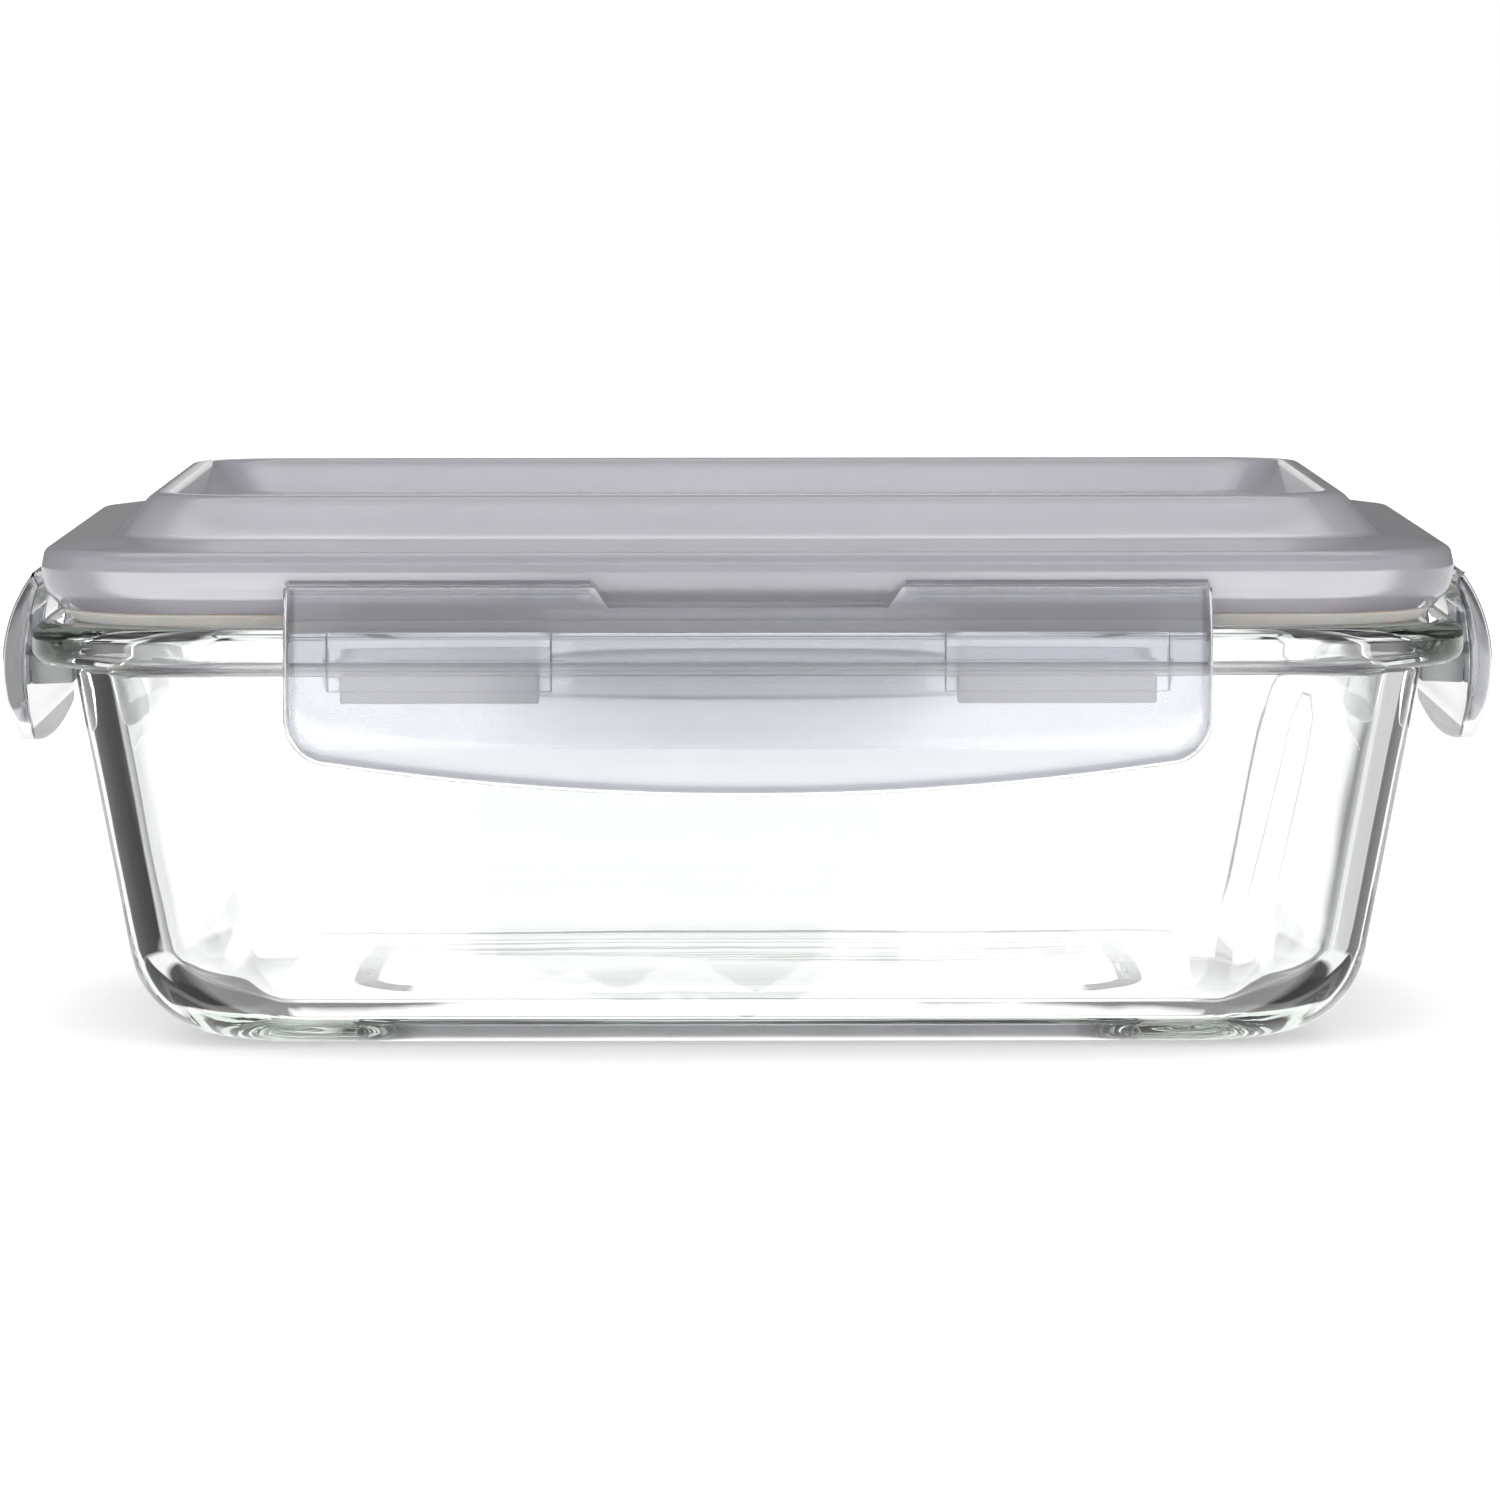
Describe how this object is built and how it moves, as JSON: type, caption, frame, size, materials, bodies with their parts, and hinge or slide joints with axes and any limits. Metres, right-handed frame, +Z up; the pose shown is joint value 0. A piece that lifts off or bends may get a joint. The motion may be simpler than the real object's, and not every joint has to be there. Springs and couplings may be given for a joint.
{
  "type": "snap lid food container",
  "caption": "Rectangular clear glass food dish with a translucent plastic lid, a silicone seal, and snap flaps on living hinges that hook under the glass rim.",
  "frame": {"origin": "middle of the face the dish stands on", "axes": "+Z up, +X along the long side, -Y is the front"},
  "size_m": [0.216, 0.166, 0.0789],
  "materials": {
    "clear_glass": "fire-polished, clear with a slight green edge",
    "lid_plastic": "moulded translucent polypropylene, semi-gloss",
    "flap_plastic": "moulded clear-translucent polypropylene, gloss",
    "seal_silicone": "soft satin silicone"
  },
  "bodies": {
    "dish": {"glass_dish": "clear_glass"},
    "lid": {"lid_panel": "lid_plastic", "seal_gasket": "seal_silicone", "hinge_web_front": "lid_plastic", "hinge_web_back": "lid_plastic", "hinge_web_left": "lid_plastic", "hinge_web_right": "lid_plastic"},
    "flap_front": {"latch_front": "flap_plastic", "hook_ribs_front": "flap_plastic"},
    "flap_back": {"latch_back": "flap_plastic", "hook_ribs_back": "flap_plastic"},
    "flap_left": {"latch_left": "flap_plastic", "hook_ribs_left": "flap_plastic"},
    "flap_right": {"latch_right": "flap_plastic", "hook_ribs_right": "flap_plastic"}
  },
  "joints": [
    {"name": "lid_lift", "type": "slide", "parent": "dish", "child": "lid", "axis": [0, 0, 1], "range_m": [0, 0.09], "deforming": ["hook_ribs_front", "hook_ribs_back", "hook_ribs_left", "hook_ribs_right"]},
    {"name": "latch_front_hinge", "type": "hinge", "parent": "lid", "child": "flap_front", "pos_m": [0, -0.0785, 0.0668], "axis": [-1, 0, 0], "range_deg": [0, 130], "deforming": ["hinge_web_front"]},
    {"name": "latch_back_hinge", "type": "hinge", "parent": "lid", "child": "flap_back", "pos_m": [0, 0.0785, 0.0668], "axis": [1, 0, 0], "range_deg": [0, 130], "deforming": ["hinge_web_back"]},
    {"name": "latch_left_hinge", "type": "hinge", "parent": "lid", "child": "flap_left", "pos_m": [-0.1035, 0, 0.0668], "axis": [0, 1, 0], "range_deg": [0, 130], "deforming": ["hinge_web_left"]},
    {"name": "latch_right_hinge", "type": "hinge", "parent": "lid", "child": "flap_right", "pos_m": [0.1035, 0, 0.0668], "axis": [0, -1, 0], "range_deg": [0, 130], "deforming": ["hinge_web_right"]}
  ]
}
